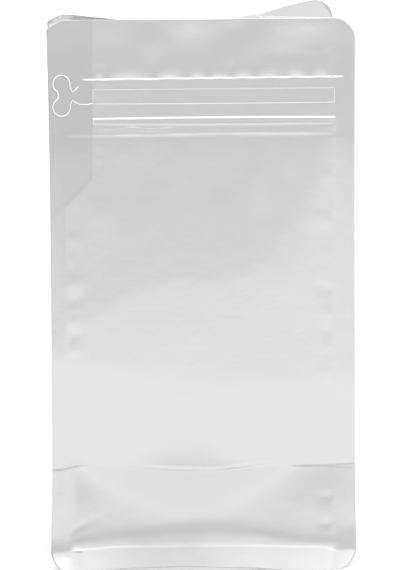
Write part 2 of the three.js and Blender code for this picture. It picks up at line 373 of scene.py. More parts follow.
def through(across, left, middle, right):
    """A gentle curve through three heights, at both ends and in the middle of the strip."""
    t = np.clip((across - STRIP_LEFT) / (STRIP_RIGHT - STRIP_LEFT), -0.1, 1.1)
    return left * (1 - t) * (1 - 2 * t) + middle * 4 * t * (1 - t) + right * t * (2 * t - 1)


def within(across, start, end, fade):
    coming = ease(across, start - fade / 2, start + fade / 2)
    return coming * (1 - ease(across, end - fade / 2, end + fade / 2))


def rounded(t):
    """From 0 to 1 with a sharp start and a soft end."""
    t = np.clip(t, 0, 1)
    return t * (2 - t)


def scalloped(across, dimples):
    """0 at each dimple and 1 halfway between two."""
    out = np.zeros_like(across)
    for start, end in zip(dimples, dimples[1:]):
        out += np.sqrt(np.sin(np.clip((across - start) / (end - start), 0, 1) * math.pi))
    return out


print(len(FLARE_DIMPLES) + len(SCALLOP_ENDS), "dimples and", len(SHORT_WELTS), "short welts")


# %% Relief of the strip
def scallop_relief(across, below):
    past = below - SCALLOP["below"]
    fading = np.exp(-np.maximum(past, 0) / SCALLOP["run"]) * (past > 0)
    return SCALLOP["depth"] * scalloped(across, SCALLOP_ENDS) * fading


def short_relief(across, z):
    out = np.zeros_like(z)
    for places, heights, rise in SHORT_WELTS:
        below = np.interp(across, places, heights) - z
        step = ease(below, -SHORT["half"], SHORT["half"]) * (1 - ease(below, SHORT["half"], SHORT["run"]))
        out += rise * within(across, places[0], places[-1], SHORT["fade"]) * step
    return out


def strip_relief(across, z):
    strip = within(across, STRIP_LEFT, STRIP_RIGHT, STRIP_FADE)
    out = np.zeros_like(z)
    for welt in WELTS:
        left, middle, right, rise, width, start, end, fade = welt
        below = through(across, left, middle, right) - z
        step = rounded(below / width + 0.5)
        if welt is FIRST:
            flare = FLARE["share"] * scalloped(across, FLARE_DIMPLES) * strip
            flared = np.exp(-np.maximum(-below, 0) / FLARE["run"])
            step = mix(ease(below, -width / 2, width / 2), flared, flare)
        slow = ease(below, -OUTSIDE["run"] / 2, OUTSIDE["run"] / 2)
        out += rise * mix(slow, step, within(across, start, end, fade) * mix(OUTSIDE["share"], 1, strip))
    below_first, below_last = (through(across, *welt[:3]) - z for welt in (FIRST, LAST))
    out += BETWEEN_WELTS * np.clip(below_first, 0, FIRST[1] - FOURTH[1]) * strip
    out *= 1 - ease(below_last, 0, RETURN_RUN)
    return out - scallop_relief(across, below_last) + short_relief(across, z)


print("relief below the strip", strip_relief(np.array([0.0]), np.array([185.0])).round(2)[0], "mm")

# %% [markdown]
# ## Seals, bends and puckers
#
# Sealed film is pressed thinner and lies a little deeper than the panel beside it. At the left top the seal
# is wider, so that the pouch can be torn open through it. Film that has been folded flat keeps soft bends,
# and film that is sealed to another sheet puckers beside the seal. Each is a small smooth displacement, in
# the way a sculptor pushes a surface, so they simply add up.

# %% Sealed zones
LEFT_SEAL = ((0, 53, 161.1, 164.2, 169.4, 172.9, 240), (-60.7, -60.5, -59.5, -55.4, -51.0, -47.7, -47.2))
RIGHT_SEAL = ((0, 52, 227, 240), (57.6, 57.8, 58.3, 58.4))
SEAL_STEP = 0.10
SEAL_SOFT = 0.4


def sealed_at(across, z):
    """1 on a seal and 0 beside it."""
    left = np.interp(z, *LEFT_SEAL)
    right = np.interp(z, *RIGHT_SEAL)
    return 1 - ease(across - left, -SEAL_SOFT, SEAL_SOFT) + ease(across - right, -SEAL_SOFT, SEAL_SOFT)


print("the wide seal is", round(HALF_WIDTH + LEFT_SEAL[1][-1], 1), "mm wide at the top")

# %% Bends
UPPER_BEND = (
    (-58.5, -47, -36, -19, 0, 17, 27, 36, 44, 52, 58, 67),  # across
    (114, 111, 121, 127, 128, 130, 138, 146, 157, 178, 203, 228),  # height
    5,  # blur
)
UPPER_RADII = (4.0, 11.0)
UPPER_SOFTER = (12, 46)  # across, from the one radius to the other
LOWER_BEND = ((-67, -40, -10, 40), (92, 91, 85, 80), 5)
LOWER_RADII = (2.5, 12.0)
LOWER_SOFTER = (-45, 5)
LEFT_FIN = {"height": 97.0, "radius": 3.0, "from": (-60.6, -58.6)}  # the upper bend on the left fin


def bend_lines(across):
    fin = 1 - ease(across, *LEFT_FIN["from"])
    return mix(followed(across, *UPPER_BEND), LEFT_FIN["height"], fin), followed(across, *LOWER_BEND)


def bend_radii(across):
    fin = 1 - ease(across, *LEFT_FIN["from"])
    upper = mix(*UPPER_RADII, ease(across, *UPPER_SOFTER))
    return mix(upper, LEFT_FIN["radius"], fin), mix(*LOWER_RADII, ease(across, *LOWER_SOFTER))


def panel_bends(across, z):
    return bulge(z, bend_lines(across), BEND_ANGLES, bend_radii(across))


print("bends in the middle at", [round(float(line)) for line in bend_lines(0.0)])

# %% Old fold and bottom seam
CREASE = (
    (-66, -61, -55, -45, -28, -1.4, 5.2, 18, 29, 45, 57, 60, 67),  # across
    (44.7, 45.1, 45.9, 47.7, 46.2, 45.1, 44.9, 46.0, 46.9, 45.7, 44.8, 44.0, 43.8),  # height
    3,  # blur
)
GROOVE = (
    (-67, -57, -49, -30, -10, 10, 26, 40, 52, 67),
    (0.16, 0.26, 0.06, 0.10, 0.26, 0.28, 0.14, 0.06, 0.12, 0.03),  # depth
    3,
)
GROOVE_REACH = 0.7
RIDGE = {"rise": 1.2, "middle": 7, "reach": 48, "above": 9, "below": 20}  # the fold itself, longer downwards
SEAM = (
    (-60, -57, -54, -46, -33, -2, 25, 51, 56, 58, 60),
    (7.6, 8.2, 8.8, 9.4, 10.2, 11.1, 10.1, 9.5, 8.6, 7.3, 6.4),
    2,
)
SEAM_STEP = {"rise": 0.08, "half": 0.5}


def fold_relief(across, z):
    line = followed(across, *CREASE)
    run = np.where(z > line, RIDGE["above"], RIDGE["below"])
    ridge = RIDGE["rise"] * hump(across, RIDGE["middle"], RIDGE["reach"]) * np.exp(-np.abs(z - line) / run)
    groove = followed(across, *GROOVE) * hump(z, line, GROOVE_REACH)
    seam = followed(across, *SEAM)
    return ridge - groove + SEAM_STEP["rise"] * ease(seam - z, -SEAM_STEP["half"], SEAM_STEP["half"])


print("the fold is between", min(CREASE[1]), "and", max(CREASE[1]), "mm high")

# %% Soft dents and swells
CLOUDS = (
    # across, height, reach across, reach up, how far it stands out
    (-22, 229.5, 7, 6, 0.30),
    (-4, 241, 13, 8, 0.80),
    (11, 224, 6, 5, 0.30),
    (25, 231, 9, 7, 0.26),
    (42, 240, 15, 7, 0.70),
    (-37, 228, 9, 6, -0.22),
    (17, 235, 6, 5, -0.26),
    (38, 224, 8, 4, -0.18),
    (-9.6, 182, 4, 11, 0.20),
    (24.8, 178, 5, 18, 0.30),
    (40, 184, 6, 10, 0.20),
    (-34, 184, 6, 7, 0.18),
    (-22, 174, 7, 9, -0.16),
    (8, 172, 7, 10, -0.16),
    (-44, 158, 7, 8, 0.16),
    (-15, 106, 22, 10, 0.12),
    (38, 128, 14, 14, 0.20),
    (30, 70, 24, 14, 0.16),
    (-30, 62, 20, 9, 0.14),
)


def cloud_relief(across, z):
    out = np.zeros_like(z)
    for x, height, reach, reach_up, rise in CLOUDS:
        out += rise * hump(across, x, reach) * hump(z, height, reach_up)
    return out


print(len(CLOUDS), "dents and swells")

# %% Puckers
PUCKERS = (
    # side, height at the seal, length, reach up, how far it stands out, how much it climbs inwards
    (-1, 147, 12, 2.6, 0.20, -0.25),
    (-1, 127, 14, 2.2, 0.24, 0.1),
    (-1, 119, 11, 1.8, -0.20, 0.15),
    (-1, 110, 9, 2.0, 0.20, 0.0),
    (-1, 104, 13, 1.8, -0.18, 0.2),
    (-1, 97.5, 12, 1.9, 0.24, 0.1),
    (-1, 76, 9, 1.6, -0.16, 0.0),
    (-1, 137, 7, 2.0, 0.10, 0.0),
    (1, 153, 12, 2.6, 0.22, 0.3),
    (1, 139, 8, 2.0, 0.12, 0.1),
    (1, 123.6, 12, 2.0, -0.16, 0.2),
    (1, 113, 10, 2.2, 0.20, 0.1),
    (1, 105.2, 9, 1.6, -0.18, 0.0),
    (1, 99, 8, 1.6, 0.18, -0.1),
    (1, 92, 7, 1.6, 0.10, 0.0),
    (1, 87, 11, 1.9, 0.22, 0.1),
    (1, 79.5, 10, 1.6, -0.20, 0.15),
    (1, 173, 8, 2.0, 0.10, 0.1),
    (1, 31, 9, 1.3, -0.34, 0.0),
    (1, 19, 9, 1.3, -0.30, 0.0),
    (-1, 16, 18, 1.2, -0.32, 0.45),
)
PUCKER = {
    "share": 0.75,  # of the rise in the list
    "widening": 0.5,  # of its reach, from the seal to its end
    "start": 3,  # from the seal to its full rise
    "fading": 0.2,  # share of its length after which it fades
}


def pucker_relief(across, z):
    left = across - np.interp(z, *LEFT_SEAL)
    right = np.interp(z, *RIGHT_SEAL) - across
    out = np.zeros_like(z)
    for side, height, length, reach, rise, climb in PUCKERS:
        inwards = left if side < 0 else right
        widening = reach * (1 + PUCKER["widening"] * np.clip(inwards / length, 0, 1))
        along = ease(inwards, 0, PUCKER["start"]) * (1 - ease(inwards, PUCKER["fading"] * length, length))
        out += PUCKER["share"] * rise * hump(z, height + climb * inwards, widening) * along
    return out


print(len(PUCKERS), "puckers")

# %% The front panel with all its relief
TUCK = {"across": -55.4, "height": 8.4, "reach": 1.5, "reach_up": 0.4, "rise": 0.32}  # beside the bottom seam
RIM = {"height": 0.35, "curl": 0.08, "power": 1.5}  # the cut edge at the top curls back


def front_relief(across, z):
    out = strip_relief(across, z) + fold_relief(across, z) - SEAL_STEP * sealed_at(across, z)
    out += pucker_relief(across, z) + cloud_relief(across, z)
    tuck = hump(across, TUCK["across"], TUCK["reach"]) * hump(z, TUCK["height"], TUCK["reach_up"])
    out += TUCK["rise"] * tuck
    return out - RIM["curl"] * np.clip(1 - (FRONT_HEIGHT - z) / RIM["height"], 0, 1) ** RIM["power"]


def front_place(across, z):
    place = smooth_front(across, z)
    place[..., 1] -= front_relief(across, z) + panel_bends(across, z) - bulge(z)
    return place


HALFWAY = (np.array([0.0]), np.array([FRONT_HEIGHT / 2]))
print("middle of the front panel, halfway up", front_place(*HALFWAY).round(1)[0])

# %% [markdown]
# ## The back panel
#
# The back's top edge follows the front's and swings away from it at both ends. The panel keeps its length, so
# its edge is lower where it leans more. Over its own strip it leans outwards a little, like a lip. A flat
# copy of the front would stand too straight behind it, so the edge is worked out from two soft bends in plan.
# Its old fold, bends and puckers are the front's, mirrored.

# %% Edge of the back panel
MOUTH_BACK_Y = -2.5
MOUTH_SHIFT = -2.1  # the back's edge stands a little to the left
SHIFT_POWER = 10  # and only near its mouth
LEFT_SWING = (-31.9, math.radians(17.8))
RIGHT_SWING = (15.1, math.radians(32))
SWING_RADIUS = 6.0
RIGHT_LIFT = 1.8


def back_mouth(across):
    left_at, left_angle = LEFT_SWING
    right_at, right_angle = RIGHT_SWING
    left = kink(left_at - across, SWING_RADIUS)
    right = kink(across - right_at, SWING_RADIUS)
    x = across + MOUTH_SHIFT + left * (1 - math.cos(left_angle)) - right * (1 - math.cos(right_angle))
    y = MOUTH_BACK_Y + left * math.sin(left_angle) + right * math.sin(right_angle)
    lean = y - half_depth(across, CREASE_HEIGHT)
    length = math.hypot(FRONT_HEIGHT - CREASE_HEIGHT, CREASE_HALF[1] + MOUTH_FRONT_Y)
    rise = np.sqrt(length**2 - lean**2 - (x - across) ** 2)
    return points(x, y, CREASE_HEIGHT + rise + RIGHT_LIFT * ease(across, right_at, HALF_WIDTH))


print("corners of the back", back_mouth(np.array([-HALF_WIDTH, HALF_WIDTH])).round(1).tolist())

# %% Surface of the back panel
LIP_FROM = 228.0
LIP_LEAN = (math.radians(12), math.radians(5))  # at the left and at the right
LIP_CHANGE = (-15, 15)  # across, from the one to the other
LIP_RADIUS = 9.0
LIP_FADE = 20.0  # height over which the puckers end below the lip


def back_relief(across, z):
    """The back has the front's old fold and puckers, mirrored, and narrow seals only."""
    below_mouth = 1 - ease(z, LIP_FROM - LIP_FADE, LIP_FROM)
    out = fold_relief(-across, z) + (pucker_relief(-across, z) + cloud_relief(-across, z)) * below_mouth
    return out - SEAL_STEP * ease(np.abs(across) - SEAL_EDGE, -SEAL_SOFT, SEAL_SOFT)


def back_place(across, z):
    height = arched(across, np.minimum(z, CREASE_HEIGHT))
    low = points(across, half_depth(across, height), height)
    mouth = back_mouth(across)
    place = mix(low, mouth, climb_at(z)[..., None])
    place[..., 0] += MOUTH_SHIFT * (climb_at(z) ** SHIFT_POWER - climb_at(z))
    lean = np.tan(mix(*LIP_LEAN, ease(across, *LIP_CHANGE)))
    edge = mouth[..., 1] - lean * (FRONT_HEIGHT - z)
    foot = mouth[..., 1] - lean * (FRONT_HEIGHT - CREASE_HEIGHT)
    slope = (low[..., 1] - foot) / kink(LIP_FROM - CREASE_HEIGHT, LIP_RADIUS)
    upper = edge + slope * kink(LIP_FROM - z, LIP_RADIUS) + panel_bends(-across, z) + risen(across, z)
    place[..., 1] = np.where(z > CREASE_HEIGHT, upper, low[..., 1]) + back_relief(across, z)
    return place


def back_inward(across, z):
    """Unit vector from the back panel towards the inside of the pouch."""
    along = back_place(across + 1, z) - back_place(across - 1, z)
    inward = np.stack([along[..., 1], -along[..., 0], np.zeros_like(along[..., 0])], axis=-1)
    return inward / np.linalg.norm(inward, axis=-1, keepdims=True)


print("middle of the back panel, halfway up", back_place(*HALFWAY).round(1)[0])

# %% [markdown]
# ## A sheet from a grid
#
# Every sheet starts as Blender's own grid. Its columns and rows are then laid on a surface, which keeps the
# faces even and all of them four-sided. A Solidify modifier gives the film its thickness, so that its cut
# edges can be seen, and a second material on its inner side.


# %% Make a sheet
def picked(values, place):
    """The value for each vertex of a grid that runs from -1 to 1."""
    return np.asarray(values)[np.rint((place + 1) / 2 * (len(values) - 1)).astype(int)]


def thicken(sheet, thickness):
    wall = sheet.modifiers.new("Film", "SOLIDIFY")
    wall.thickness = thickness * MM
    wall.offset = 0
    wall.material_offset = 1
    # the cut edge gets the near-white inner material too, as a painted highlight
    wall.material_offset_rim = 1


def film_sheet(name, columns, rows, surface, outwards=True, thickness=FILM, sealed=None):
    bm = bmesh.new()
    bmesh.ops.create_grid(bm, x_segments=len(columns) - 1, y_segments=len(rows) - 1, size=1)
    if not outwards:
        bmesh.ops.reverse_faces(bm, faces=bm.faces)
    mesh = bpy.data.meshes.new(name)
    bm.to_mesh(mesh)
    bm.free()
    grid = np.empty(len(mesh.vertices) * 3)
    mesh.vertices.foreach_get("co", grid)
    grid = grid.reshape(-1, 3)
    column, row = picked(columns, grid[:, 0]), picked(rows, grid[:, 1])
    place = surface(column, row)
    place[:, 0] += MIDDLE
    mesh.vertices.foreach_set("co", (place * MM).ravel())
    # the attribute "sealed" carries the painted shade on the seals
    if sealed:
        mesh.attributes.new("sealed", "FLOAT", "POINT").data.foreach_set("value", sealed(column, row))
    mesh.update()
    mesh.shade_smooth()
    sheet = bpy.data.objects.new(name, mesh)
    bpy.context.scene.collection.objects.link(sheet)
    thicken(sheet, thickness)
    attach(sheet, "root")
    print(name, len(mesh.vertices), "vertices")
    return sheet


print("film of", FILM, "mm, with sealed sheets", SHEET_STEP, "mm apart")

# %% Columns of a panel
LEAST_STEP = 0.002  # places that lie closer are one


# A column runs from -2 to 2: 1 is the inner edge of a side seal, and 2 is the panel's outer edge.
def across_at(column, z):
    fin_left = (half_width(-1, z) - SEAL_EDGE) * np.clip(-column - 1, 0, 1)
    fin_right = (half_width(1, z) - SEAL_EDGE) * np.clip(column - 1, 0, 1)
    return np.clip(column, -1, 1) * SEAL_EDGE + fin_right - fin_left


def spread(start, end, step):
    return np.linspace(start, end, max(2, round(abs(end - start) / step) + 1))


def around(middle, reach, count):
    return middle + np.linspace(-reach, reach, count)


def joined(*runs):
    """The runs as one, without places that nearly repeat another."""
    places = np.unique(np.concatenate(runs))
    return places[np.concatenate([[True], np.diff(places) > LEAST_STEP])]


fin_columns = spread(1, 2, 0.1)
left_columns = spread(-SEAL_EDGE, -48.5, 1.0)
left_end, right_end = around(-47.3, 1.2, 7), around(57.9, 1.2, 7)  # finer, as the strip ends there
strip_columns = joined(left_end, spread(-46, 57, 1.0), right_end)
panel_columns = joined(-fin_columns, left_columns / SEAL_EDGE, strip_columns / SEAL_EDGE, fin_columns)
print(len(panel_columns), "columns in the front panel")

# %% Rows of a panel, finest where its relief is
round_rows = CORNER_RADIUS * (1 - np.cos(spread(0, math.pi / 2, 0.13)))
seam_rows, fold_rows = around(SEAL_HEIGHT, 1.6, 9), around(45.5, 3, 15)
low_rows = joined(round_rows, seam_rows, spread(11, 42, 1.5), fold_rows)
edge_rows = joined(spread(0, 0.6, 0.12), spread(0, 6, 0.8))  # from the top edge down
high_rows = joined(FRONT_HEIGHT - round_rows, FRONT_HEIGHT - edge_rows)
welt_rows = [around(welt[1], welt[4], 9) for welt in WELTS]
strip_rows = joined(*welt_rows, spread(186, 215, 0.7), spread(193, 195, 0.25), spread(215.6, 221, 0.4))
upper_rows = joined(spread(49, 156, 1.5), spread(157, 186, 1.0))
front_rows = joined(low_rows, upper_rows, strip_rows, spread(222, 233, 1.2), high_rows)
print(len(front_rows), "rows in the front panel")

# %% Front panel
WELT_ZONE = (186.0, 226.0)  # the rows inside it follow the welts
SEAL_SHADE_LEFT = (110, 165)  # height over which painted shade on the left seal grows
SEAL_SHADE_RIGHT = (150, 190)
RIGHT_SEAL_SHADE = 0.1  # the right seal gets much less painted shade


def along_welts(across, row):
    """A row that lies near a welt runs along it, so that the welt stays crisp."""
    low, high = WELT_ZONE
    heights = [low, *sorted(welt[1] for welt in WELTS), high]
    height = row.copy()
    for index, (left, middle, right, *_) in enumerate(sorted(WELTS, key=lambda welt: welt[1]), start=1):
        share = np.interp(row, heights, np.eye(len(heights))[index])
        height += share * (through(across, left, middle, right) - middle)
    return height


def front_surface(column, row):
    z = along_welts(np.clip(column, -1, 1) * SEAL_EDGE, row)
    return front_place(across_at(column, z), z)


# Painted shade: how much the film's colour darkens on the seals, more on the left and higher up.
def front_seal_shade(column, row):
    across = across_at(column, row)
    painted_shade = np.where(across < 0, ease(row, *SEAL_SHADE_LEFT), RIGHT_SEAL_SHADE * ease(row, *SEAL_SHADE_RIGHT))
    return sealed_at(across, row) * painted_shade


front = film_sheet("front_film", panel_columns, front_rows, front_surface, sealed=front_seal_shade)
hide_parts("front_panel")

# %% Back panel
BACK_SEAL = (0.995, 1.005)  # columns, from the panel to its seal, over which the painted seal shade comes in
seal_columns = around(1, 0.012, 5)
back_fin_columns = fin_columns[::2]
back_columns = joined(-back_fin_columns, -seal_columns, spread(-1, 1, 0.025), seal_columns, back_fin_columns)
back_rows = joined(low_rows, spread(49, 231, 1.5), high_rows)


# Painted shade on the back panel's side seals.
def back_seal_shade(column, row):
    return ease(np.abs(column), *BACK_SEAL)


def back_surface(column, row):
    return back_place(across_at(column, row), row)


back = film_sheet("back_film", back_columns, back_rows, back_surface, outwards=False, sealed=back_seal_shade)
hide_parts("back_panel")

# %% [markdown]
# ## Side gussets
#
# A gusset is one sheet: a fin sealed to the front panel, two arms that fold inwards, and a fin sealed to the
# back panel. It could be two flat triangles on each side, but then its arms would stretch. Here the arms keep
# their length, so the fold between them goes as deep as the narrowing pouch asks for.

# %% Places on a gusset
# A column runs from 0 to 5: the front fin ends at 1, the front arm at 2, the fold at 3 and the back arm at 4.
FOLD_RADIUS = 0.75
LEAST_FIN = 1.0
ARM = CREASE_HALF[0] - SHEET_STEP
ARM_CLEARANCE = 0.3  # between the front arm and the front panel
LAID_STEP = SHEET_STEP + 0.1  # near the mouth the back arm lies on the back panel
LAID_POWER = 3
PUFF = {"rise": 0.35, "crest": 0.03, "end": 0.1, "power": 4}  # there it stands off a little beside its seam


def on_front(across, z):
    place = front_place(across, z)
    place[..., 1] += SHEET_STEP
    return place


def behind_front(across, z):
    place = smooth_front(across, z)
    place[..., 1] += SHEET_STEP + ARM_CLEARANCE
    return place


def on_back(across, z, step=SHEET_STEP):
    return back_place(across, z) + step * back_inward(across, z)


def folded_in(side, z, front_seam, back_seam):
    """How far inwards the fold lies, so that both arms keep their length."""
    edge = np.full_like(z, side * SEAL_EDGE)
    half = np.linalg.norm(front_seam - back_seam, axis=-1) / 2
    plain_half = half + sunk(edge) * (1 - climb_at(z)) - risen(edge, z)
    return np.where(z > CREASE_HEIGHT, np.sqrt(np.clip(ARM**2 - plain_half**2, 0, None)), 0)


def fold_bow(side, column, climb):
    """The half round between the arms, from the middle of the fold."""
    angle = (np.clip(column - 2, 0, 1) - 0.5) * math.pi
    bow = points(-side * np.cos(angle), np.sin(angle), 0 * angle) * FOLD_RADIUS
    return bow * np.concatenate([climb, np.ones_like(climb), climb], axis=-1)


print("the arms of a gusset are", round(ARM, 2), "mm long")


# %% Surface of a gusset
def gusset_surface(side):
    def surface(column, z):
        fin = side * np.maximum(half_width(side, z), SEAL_EDGE + LEAST_FIN)
        edge = np.full_like(z, side * SEAL_EDGE)
        front_fin = on_front(mix(fin, edge, np.clip(column, 0, 1)), z)
        back_fin = on_back(mix(edge, fin, np.clip(column - 4, 0, 1)), z)
        front_seam, back_seam = on_front(edge, z), on_back(edge, z)
        inwards = side * folded_in(side, z, front_seam, back_seam)
        fold = (behind_front(edge - inwards, z) + on_back(edge - inwards, z)) / 2
        turn = points(0, FOLD_RADIUS, 0) * np.ones_like(fold)
        front_arm = mix(front_seam, fold - turn, np.clip(column - 1, 0, 1)[:, None])
        climb = climb_at(z)[:, None]
        round_fold = fold + fold_bow(side, column, climb)
        t = np.clip(column - 3, 0, 1)
        start = fold + turn
        on_panel = on_back(edge - inwards * (1 - t), z, LAID_STEP)
        off_panel = start - on_back(edge - inwards, z, LAID_STEP)
        laid = on_panel + off_panel * ((1 - t) ** LAID_POWER)[:, None]
        crest = ease(1 - t, 0, PUFF["crest"]) * (1 - ease(1 - t, PUFF["crest"], PUFF["end"]))
        puff = PUFF["rise"] * crest * climb_at(z) ** PUFF["power"]
        laid += puff[:, None] * back_inward(edge, z)
        back_arm = mix(mix(start, back_seam, t[:, None]), laid, climb**2)
        parts = [column < 1, column <= 2, column < 3, column <= 4]
        return np.select([p[:, None] for p in parts], [front_fin, front_arm, round_fold, back_arm], back_fin)

    return surface


gusset_fin, gusset_arm = spread(0, 1, 0.25), spread(0, 1, 0.06)
arm_columns = joined(gusset_fin, 1 + gusset_arm, spread(2, 3, 0.2), 3 + gusset_arm, 4 + gusset_fin)
start_rows = [45.0, 45.4, 46, 47]  # the fold between the arms starts here
gusset_rows = joined(low_rows[::2], start_rows, spread(48, 231, 2.2), high_rows)
for name, side, node in (("left_gusset_film", -1, "gusset_left"), ("right_gusset_film", 1, "gusset_right")):
    gusset = film_sheet(name, arm_columns, gusset_rows, gusset_surface(side), outwards=side > 0)
    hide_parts(node)

# %% [markdown]
# ## Base
#
# The base is one sheet that lies on the ground in its middle, rises to the bottom seals at its rim, and laps
# down behind both skirts. A box's flat floor would miss the rim, so its height eases up on all four sides.

# %% Base
RIM_RUN = 17.0
LAP_END = 0.06  # the base film's edge, which shows under the arched edge of the skirt


def base_surface(column, row):
    half_across = SEAL_EDGE - SHEET_STEP
    x = column * half_across
    inner, lap = np.clip(np.abs(row), 0, 1), np.clip(np.abs(row) - 1, 0, 1)
    half_run = half_depth(x, SEAL_HEIGHT) - SHEET_STEP
    side_rim = ease(np.abs(column), 1 - RIM_RUN / half_across, 1)
    rim = np.maximum(side_rim, ease(inner, 1 - RIM_RUN / half_run, 1))
    lap_height = mix(SEAL_HEIGHT, LAP_END, lap)
    y = np.where(lap > 0, half_depth(x, lap_height) - SHEET_STEP, inner * half_run)
    return points(x, np.sign(row) * y, np.where(lap > 0, lap_height, mix(FILM / 2, SEAL_HEIGHT, rim)))


lap_rows = 1 + spread(0, 1, 0.08)
base_rows = joined(-lap_rows, spread(-1, 1, 0.04), lap_rows)
base = film_sheet("base_film", spread(-1, 1, 0.03), base_rows, base_surface, outwards=False)
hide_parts("base_panel")

# %% [markdown]
# ## Press-to-close strip
#
# The strip is sealed to the inside of the front panel, so it only shows through the mouth. Plain boxes would
# cut through the panel's curve. So the strip is one more sheet that follows the panel, and its two tracks are
# rounded ribs on the side that faces the back panel.

# %% Strip
STRIP = {"left": -47.0, "right": 50.0, "bottom": 187.0, "top": 217.0, "thickness": 0.4, "behind": 0.4}
TRACKS = (198.4, 206.0)
TRACK = {"rise": 1.2, "half": 0.9}
STRIP_SPACING = 2


def strip_surface(column, row):
    place = smooth_front(column, row)
    ribs = sum(np.sqrt(np.clip(1 - ((row - track) / TRACK["half"]) ** 2, 0, 1)) for track in TRACKS)
    place[..., 1] += STRIP["behind"] + TRACK["rise"] * ribs
    return place


across_strip = spread(STRIP["left"], STRIP["right"], STRIP_SPACING)
track_rows = [around(track, TRACK["half"], 9) for track in TRACKS]
up_strip = joined(spread(STRIP["bottom"], STRIP["top"], STRIP_SPACING), *track_rows)
strip = film_sheet("press_strip", across_strip, up_strip, strip_surface, thickness=STRIP["thickness"])
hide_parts("zipper_strip")

# %% [markdown]
# ## Tear tab
#
# At the left, a keyhole-shaped line is cut through the wide seal, to tear the pouch open from it. Its cut
# edge catches the light as a thin bright line. A real slit would be too fine to see, so the line is a fine
# raised bead instead: a curve with a round section, turned into a mesh, whose near-white matt colour is a
# painted highlight. Finer lines of the same kind mark the strip's ends.

# %% Path of the cut
LOBES = {"upper": (-60.8, 213.0, 3.7, -15, 222), "lower": (-60.8, 203.1, 3.8, 138, 375)}
ARC_STEP = 12  # degrees


def arc(x, z, radius, start, end):
    turn = np.radians(spread(start, end, ARC_STEP))
    return np.stack([x + radius * np.cos(turn), z + radius * np.sin(turn)], axis=-1)


upper_slit = [(-53.2, 212.0), (-54.6, 210.7), (-56.1, 209.5)]
left_waist = [(-62.4, 209.6), (-62.2, 208.1), (-62.4, 206.6)]
lower_slit = [(-56.1, 206.2), (-54.8, 205.2), (-53.5, 204.8)]
slit_end = [(-52.7, 204.3), (-49.6, 204.3), (-47.4, 204.8)]
upper_lobe, lower_lobe = arc(*LOBES["upper"]), arc(*LOBES["lower"])
cut = np.concatenate([upper_slit, upper_lobe, left_waist, lower_lobe, lower_slit, slit_end])
print("the cut has", len(cut), "points")

# %% Bead along the path, and finer ones at the ends of the strip
BEAD = 0.17
END_MARKS = (
    # across, from a height, to a height
    (-47.1, 205.4, 210.2),
    (-47.1, 195.6, 197.6),
    (58.2, 204.9, 210.3),
)
MARK_SHARE = 0.3  # of the bead's thickness
MARK_STEP = 0.8
path = bpy.data.curves.new("tear tab path", "CURVE")
path.dimensions = "3D"
path.bevel_depth = BEAD * MM
path.bevel_resolution = 2
path.use_fill_caps = True


def add_line(across, z, share=1.0):
    places = front_place(across, z)
    places[:, 1] -= FILM / 2
    places[:, 0] += MIDDLE
    spline = path.splines.new("POLY")
    spline.points.add(len(places) - 1)
    for point, place in zip(spline.points, places):
        point.co = (*(place * MM), 1)
        point.radius = share


add_line(cut[:, 0], cut[:, 1])
for across, low, high in END_MARKS:
    heights = spread(low, high, MARK_STEP)
    add_line(np.full_like(heights, across), heights, MARK_SHARE)
path_object = bpy.data.objects.new("tear tab path", path)
bpy.context.scene.collection.objects.link(path_object)
bpy.context.view_layer.update()
evaluated_path = path_object.evaluated_get(bpy.context.evaluated_depsgraph_get())
bead_mesh = bpy.data.meshes.new_from_object(evaluated_path)
bpy.data.objects.remove(path_object)
bead = bpy.data.objects.new("tear_tab_cut", bead_mesh)
bpy.context.scene.collection.objects.link(bead)
bead_mesh.shade_smooth()
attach(bead, "root")
print("tear tab", len(bead_mesh.vertices), "vertices")

# %% [markdown]
# ## Film
#
# Satin laminate film has a thin metal layer under a matt lacquer, so it mirrors the room softly. On its seals
# the colour is painted a little greyer, as painted shade for the way the pressed film takes the light; the
# mesh attribute "sealed" says how much. A fine noise in the surface stands for the grain. Its inner side is
# the plastic that seals to itself, painted near-white: partly its own colour, partly painted light for the
# dim gaps between the sheets and a painted highlight on the cut edges. A picture of real film would bring
# its own lights along, so tone, gloss and grain are plain values here.

# %% Materials
FILM_TONE = 0.55
# painted shade on the seals
SEAL_SHADE_TONE = 0.51
FILM_GRAIN = ((9.0, 0.10), (0.8, 0.02))  # size and height
NOISE_DETAIL = 2


def add_grain(nodes, links, shader, grain):
    place = nodes.new("ShaderNodeTexCoord")
    below = None
    for size, height in grain:
        noise = nodes.new("ShaderNodeTexNoise")
        noise.inputs["Scale"].default_value = 1 / (size * MM)
        noise.inputs["Detail"].default_value = NOISE_DETAIL
        bump = nodes.new("ShaderNodeBump")
        bump.inputs["Distance"].default_value = height * MM
        links.new(place.outputs["Object"], noise.inputs["Vector"])
        links.new(noise.outputs["Fac"], bump.inputs["Height"])
        if below:
            links.new(below.outputs["Normal"], bump.inputs["Normal"])
        below = bump
    links.new(below.outputs["Normal"], shader.inputs["Normal"])


# Painted shade: the base colour darkens where the mesh attribute "sealed" says.
def add_seal_shade(nodes, links, shader, tone, shaded_tone):
    sealed = nodes.new("ShaderNodeAttribute")
    sealed.attribute_name = "sealed"
    colour = nodes.new("ShaderNodeMix")
    colour.data_type = "RGBA"
    colour.inputs["A"].default_value = (tone, tone, tone, 1)
    colour.inputs["B"].default_value = (shaded_tone, shaded_tone, shaded_tone, 1)
    links.new(sealed.outputs["Fac"], colour.inputs["Factor"])
    links.new(colour.outputs["Result"], shader.inputs["Base Color"])


def new_material(name, tone, metallic, roughness):
    material = bpy.data.materials.new(name)
    material.use_nodes = True
    shader = material.node_tree.nodes["Principled BSDF"]
    shader.inputs["Base Color"].default_value = (tone, tone, tone, 1)
    shader.inputs["Metallic"].default_value = metallic
    shader.inputs["Roughness"].default_value = roughness
    print(name, "tone", tone)
    return material, shader


